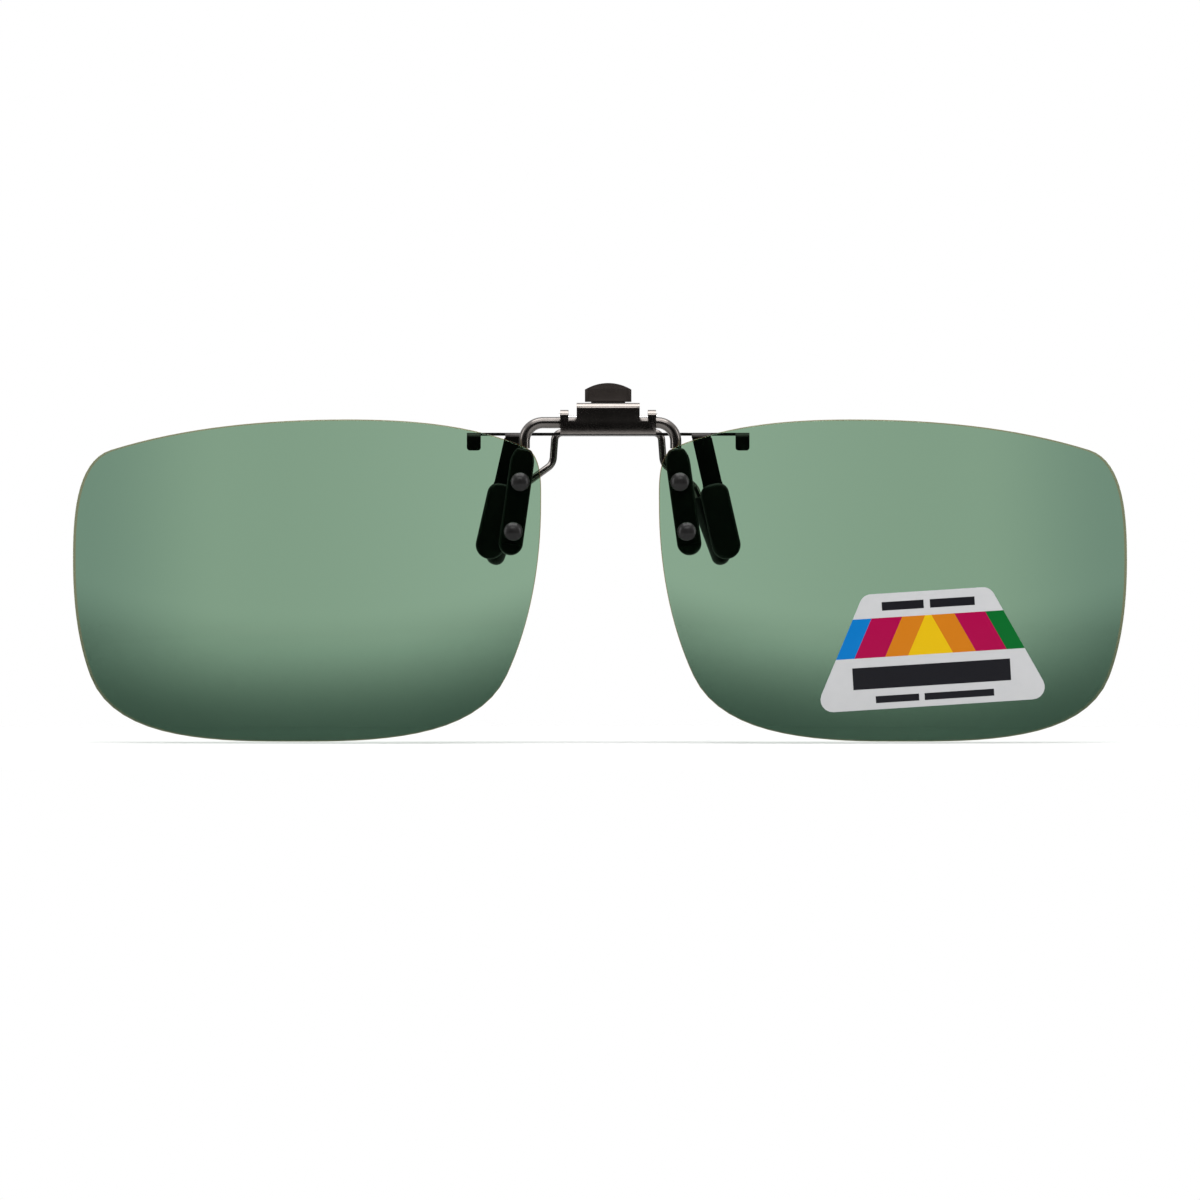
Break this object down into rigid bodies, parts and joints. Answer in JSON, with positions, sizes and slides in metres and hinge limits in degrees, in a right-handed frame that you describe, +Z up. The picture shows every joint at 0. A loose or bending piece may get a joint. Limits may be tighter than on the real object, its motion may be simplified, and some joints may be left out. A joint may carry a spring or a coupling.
{
  "type": "clip-on sunglasses",
  "caption": "Flip-up rimless clip-on sunglasses: grey-green lenses riveted to a wire yoke that turns in a small sprung metal clamp with a black thumb cap.",
  "frame": {"origin": "middle of the underside of the clamp's shelf, in the plane of the front jaw, where the top of a spectacle frame sits", "axes": "+X across the face towards the wearer's left, +Y from the sunglasses towards the face, +Z up"},
  "size_m": [0.136, 0.0124, 0.0462],
  "materials": {
    "gunmetal": "dark nickel-plated folded steel, bright where it bends",
    "black_steel": "black-finished stamped steel",
    "bright_steel": "plain steel",
    "spring_steel": "drawn spring steel",
    "wire_steel": "dark nickel-plated steel wire",
    "soft_sleeve": "smooth black soft vinyl",
    "black_plastic": "moulded black plastic, satin",
    "black_cover": "smooth black plastic",
    "rivet_black": "black rivet, satin dome",
    "tinted_lens": "grey-green polarised lens, polished",
    "label_vinyl": "printed vinyl label, satin"
  },
  "bodies": {
    "clamp_frame": {"bridge_housing": "gunmetal", "front_jaw_plate": "black_steel", "housing_stakes": "bright_steel", "leaf_spring": "spring_steel", "lever_pin": "bright_steel", "front_sleeve_left": "soft_sleeve", "front_sleeve_right": "soft_sleeve", "torsion_spring": "spring_steel"},
    "rear_jaw": {"thumb_lever": "gunmetal", "thumb_cap": "black_plastic", "rear_jaw_wire": "wire_steel", "rear_sleeve_left": "soft_sleeve", "rear_sleeve_right": "soft_sleeve"},
    "lens_carrier": {"lens_yoke": "wire_steel", "paddle_cover_left": "black_cover", "paddle_cover_right": "black_cover", "lens_left": "tinted_lens", "lens_right": "tinted_lens", "upper_rivet_left": "rivet_black", "upper_rivet_right": "rivet_black", "lower_rivet_left": "rivet_black", "lower_rivet_right": "rivet_black", "lens_label": "label_vinyl"}
  },
  "joints": [
    {"name": "flip_up", "type": "hinge", "parent": "clamp_frame", "child": "lens_carrier", "pos_m": [0, -0.002, 0.0016], "axis": [-1, 0, 0], "range_deg": [0, 90]},
    {"name": "jaw_open", "type": "hinge", "parent": "clamp_frame", "child": "rear_jaw", "pos_m": [0, 0.0006, 0.0021], "axis": [1, 0, 0], "range_deg": [0, 20], "stiffness_Nm_per_rad": 0.01, "springref_deg": -40.11, "deforming": ["torsion_spring"]}
  ]
}
